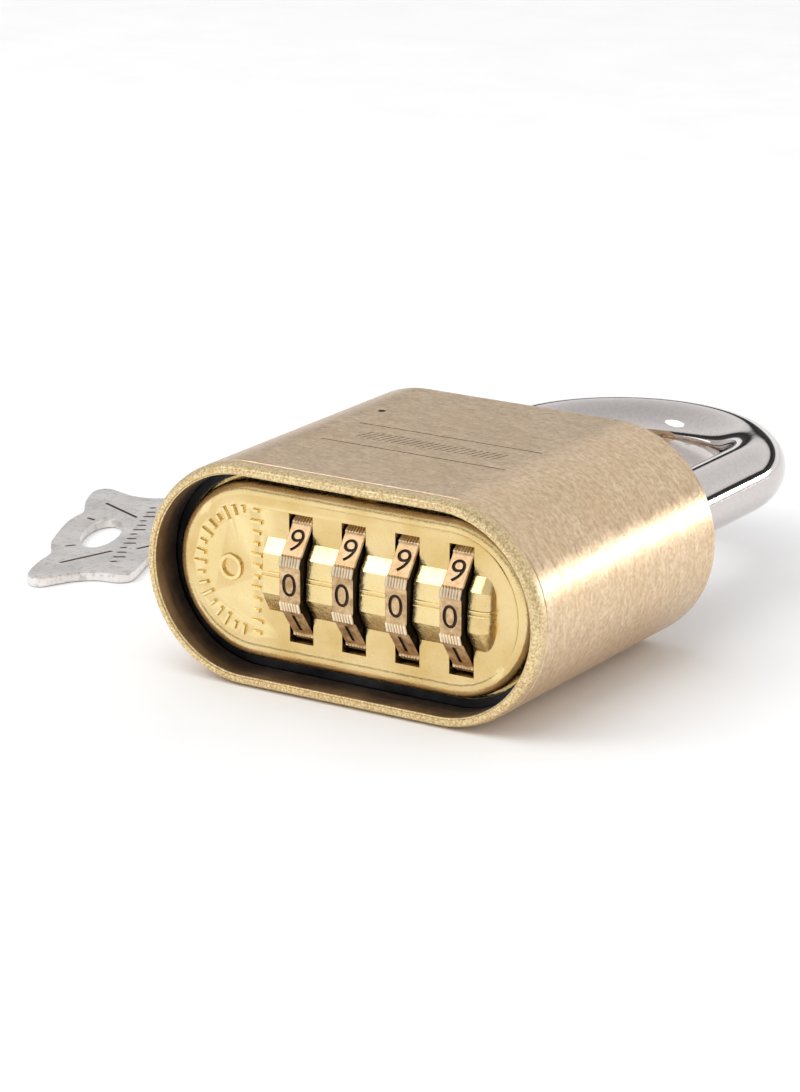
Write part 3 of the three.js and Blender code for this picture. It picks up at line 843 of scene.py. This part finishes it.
# ---- shackle ----
def shackle():
    stations = [(LEG_X, SHACKLE_LOW.y + along, 0, radius) for along, radius in LEG_END]
    stations += [(LEG_X, NECK[0] - 0.1, 0, BAR_RADIUS), (LEG_X, NECK[0], 0, BAR_RADIUS - 0.1),
                 (LEG_X, NECK[0], 0, NECK[2]), (LEG_X, NECK[1], 0, NECK[2]),
                 (LEG_X, NECK[1], 0, BAR_RADIUS - 0.1), (LEG_X, NECK[1] + 0.1, 0, BAR_RADIUS),
                 (LEG_X, BEND_Y, 0, BAR_RADIUS)]
    steps = 96
    for i in range(1, steps):
        a = math.pi * i / steps
        stations.append((LEG_X * math.cos(a), BEND_Y + LEG_X * math.sin(a), a, BAR_RADIUS))
    stations.append((-LEG_X, BEND_Y, math.pi, BAR_RADIUS))
    stations += [(-LEG_X, TOE_END + along, math.pi, radius) for along, radius in reversed(LEG_END)]
    rings = []
    for x, y, turn, radius in stations:
        ring = []
        for i in range(72):
            a = 2 * math.pi * i / 72
            out = radius * math.cos(a)
            ring.append(Vector((x + out * math.cos(turn), y + out * math.sin(turn),
                                MID_Z + radius * math.sin(a))))
        rings.append(ring)
    bar = lofted("shackle_bar", rings)
    complete(mark(bar, 0), "shackle_set", ["shackle"], [polished_chrome()])


# ---- change key ----
def smooth_closed(points, steps, keep_straight):
    """A closed Catmull-Rom curve through points; stretches named by keep_straight stay straight."""
    result = []
    count = len(points)
    for i in range(count):
        p0, p1 = Vector(points[i - 1]), Vector(points[i])
        p2, p3 = Vector(points[(i + 1) % count]), Vector(points[(i + 2) % count])
        if i in keep_straight:
            result.append(p1)
            continue
        for s in range(steps):
            t = s / steps
            result.append(0.5 * (2 * p1 + (p2 - p0) * t + (2 * p0 - 5 * p1 + 4 * p2 - p3) * t * t
                                 + (3 * p1 - p0 - 3 * p2 + p3) * t ** 3))
    return result


def key_outline():
    length, half_width = KEY_BLADE
    half = [(-5.6, 3.5), (-5.1, 6.6), (-4.5, 9), (-5.2, 13), (-5.4, 16.8), (-4.9, 18.9), (-3.4, 19.6),
            (-1.6, 18.2), (0.4, 16.7), (3, 16.1), (5.4, 16.6), (6.9, 15.8), (7.3, 13.5), (7.6, 9),
            (8.4, 5.2), (10, 3.2), (12.4, half_width), (length - 1.6, half_width), (length, 0.8)]
    points = half + [(u, -v) for u, v in reversed(half)]
    last = len(half)
    straight = {last - 4, last - 3, last - 2, last - 1, last, last + 1, last + 2}
    return smooth_closed(points, 5, straight)


def change_key():
    thickness = KEY_HIGH.z - KEY_LOW.z
    curve = bpy.data.curves.new("key", "CURVE")
    curve.dimensions = "2D"
    curve.fill_mode = "BOTH"
    curve.extrude = thickness / 2 - KEY_EDGE
    curve.bevel_depth = KEY_EDGE
    curve.bevel_resolution = 2
    curve.offset = -KEY_EDGE
    hole = [Vector((KEY_HOLE_SHIFT + KEY_HOLE[0] * math.cos(a), KEY_HOLE[1] * math.sin(a)))
            for a in (2 * math.pi * i / 64 for i in range(64))]
    for outline in (key_outline(), hole):
        spline = curve.splines.new("POLY")
        spline.points.add(len(outline) - 1)
        for point, place in zip(spline.points, outline):
            point.co = (place.x, place.y, 0, 1)
        spline.use_cyclic_u = True
    source = bpy.data.objects.new("key_curve", curve)
    bpy.context.scene.collection.objects.link(source)
    depsgraph = bpy.context.evaluated_depsgraph_get()
    mesh = bpy.data.meshes.new_from_object(source.evaluated_get(depsgraph))
    bpy.data.objects.remove(source)
    bm = bmesh.new()
    bm.from_mesh(mesh)
    bmesh.ops.remove_doubles(bm, verts=bm.verts, dist=0.002)
    bm.transform(Matrix.Rotation(KEY_AXIS, 4, "Z"))
    low = [min(v.co[i] for v in bm.verts) for i in range(3)]
    high = [max(v.co[i] for v in bm.verts) for i in range(3)]
    fit = min(1.0, *((KEY_HIGH[i] - KEY_LOW[i]) / (high[i] - low[i]) for i in range(2)))
    shrink = Matrix.Diagonal((fit, fit, 1, 1))
    bm.transform(shrink)
    move = (KEY_LOW + KEY_HIGH) / 2 - (Vector(low) + Vector(high)) / 2 * fit
    bmesh.ops.translate(bm, verts=bm.verts, vec=move)
    key = to_object("change_key_plate", bm)
    mark(key, 0)
    combine(key, key_grooves(Matrix.Translation(move) @ shrink @ Matrix.Rotation(KEY_AXIS, 4, "Z")))
    complete(key, "key", ["change_key"], [nickel_plate(), figure_fill()])


def key_grooves(place):
    """Plain pressed lines and ticks on the bow."""
    top = (KEY_HIGH.z - KEY_LOW.z) / 2
    tools = []
    lines = [(-2.5, side * 13, 2.8, side * 7.2) for side in (-1, 1)]
    lines += [(5.5, side * 6, 7.3, side * 4) for side in (-1, 1)]
    lines += [(-3.4, side * 6.2, -2.2, side * 5.4) for side in (-1, 1)]
    for i in range(13):
        v = -11.6 + 23.2 * i / 12
        lines.append((3.4, v, 4.3 + 0.35 * ((i * 5) % 3), v + 0.25))
    for u0, v0, u1, v1 in lines:
        tools.append(groove(Vector((u0, v0, 0)), Vector((u1, v1, 0)), *KEY_GROOVE, top))
    # slot 1 takes the dark fill: painted shade in the pressed lines
    tool = mark(joined("key_grooves", tools), 1)
    tool.data.transform(place)
    return tool


# ---- works inside, kept from the CAD model ----
def paint_works():
    steel = plain_steel("sheet_steel", shade(138, 140, 146), shade(176, 178, 182),
                        0.28, 0.46, (900, 2600, 900))
    spring = plain_steel("spring_steel", shade(34, 36, 40), shade(58, 60, 64),
                         0.3, 0.46, (1800, 1800, 1800))
    zinc = plain_steel("cast_zinc", shade(158, 154, 142), shade(190, 186, 172),
                       0.4, 0.6, (1500, 1500, 1500))
    finishes = {"steel": steel, "spring_steel": spring, "zinc": zinc}
    slots = {part["node"]: part["material_slot"] for part in frame["record"]["subparts"]}
    for name, node in frame["nodes"].items():
        if slots[name] in finishes:
            node.data.materials.clear()
            node.data.materials.append(finishes[slots[name]])


# ---- stage, light and camera ----
def stage():
    bm = bmesh.new()
    half = 4.0
    corners = ((-half, -half), (half, -half), (half, half), (-half, half))
    bm.faces.new([bm.verts.new((x, y, 0)) for x, y in corners])
    floor = to_object("floor", bm)
    floor.location.z = -0.00005
    floor.data.materials.append(floor_white())


def area_light(name, place, target, size, power, mirrored=True):
    light = bpy.data.lights.new(name, "AREA")
    light.shape = "ELLIPSE"
    light.size, light.size_y = size
    light.energy = power
    lamp = bpy.data.objects.new(name, light)
    lamp.location = place
    lamp.rotation_euler = (Vector(target) - Vector(place)).to_track_quat("-Z", "Y").to_euler()
    lamp.visible_glossy = mirrored
    bpy.context.scene.collection.objects.link(lamp)


def sky():
    """A pale studio: white paper low down, a dark gap above it, light grey walls and a greyer ceiling."""
    world = bpy.data.worlds.new("studio")
    bpy.context.scene.world = world
    world.use_nodes = True
    tree = world.node_tree
    where = tree.nodes.new("ShaderNodeTexCoord").outputs["Generated"]
    split = tree.nodes.new("ShaderNodeSeparateXYZ")
    tree.links.new(where, split.inputs["Vector"])
    ramp = tree.nodes.new("ShaderNodeValToRGB")
    tree.links.new(split.outputs["Z"], ramp.inputs["Fac"])
    elements = ramp.color_ramp.elements
    for position, value in SKY_STOPS[1:-1]:
        elements.new(position)
    for element, (position, value) in zip(elements, SKY_STOPS):
        element.position = position
        element.color = (value, value, value * 1.01, 1)
    background = tree.nodes["Background"]
    tree.links.new(ramp.outputs["Color"], background.inputs["Color"])
    background.inputs["Strength"].default_value = SKY_STRENGTH


def lights():
    area_light("low_strip", (0.36, 0.58, 0.075), (0, 0, 0.013), (0.25, 0.06), 0.45)
    area_light("front_softbox", (-0.45, -0.45, 0.6), (0, 0, 0.01), (0.3, 0.3), 0.7)
    area_light("overhead", (-0.2, -0.3, 1.0), (0, 0, 0), (1.3, 1.3), 6.0, mirrored=False)


def camera():
    """Looks down at the dial end from above the right front corner."""
    data = bpy.data.cameras.new("camera")
    data.sensor_fit = "VERTICAL"
    data.sensor_height = SENSOR_HEIGHT
    data.lens = LENS
    data.clip_start = 0.01
    data.clip_end = 20
    viewer = bpy.data.objects.new("camera", data)
    azimuth, elevation = math.radians(VIEW_AZIMUTH), math.radians(VIEW_ELEVATION)
    back = Vector((math.sin(azimuth) * math.cos(elevation), -math.cos(azimuth) * math.cos(elevation),
                   math.sin(elevation)))
    viewer.location = Vector(VIEW_TARGET) + back * VIEW_DISTANCE
    viewer.rotation_euler = (-back).to_track_quat("-Z", "Y").to_euler()
    bpy.context.scene.collection.objects.link(viewer)
    bpy.context.scene.camera = viewer


lock_body()
dial_cover()
dials()
shackle()
change_key()
paint_works()
stage()
sky()
lights()
camera()
for slot in CUT_SLOTS:
    bpy.data.materials.remove(slot)
bpy.context.scene.view_settings.view_transform = "Standard"
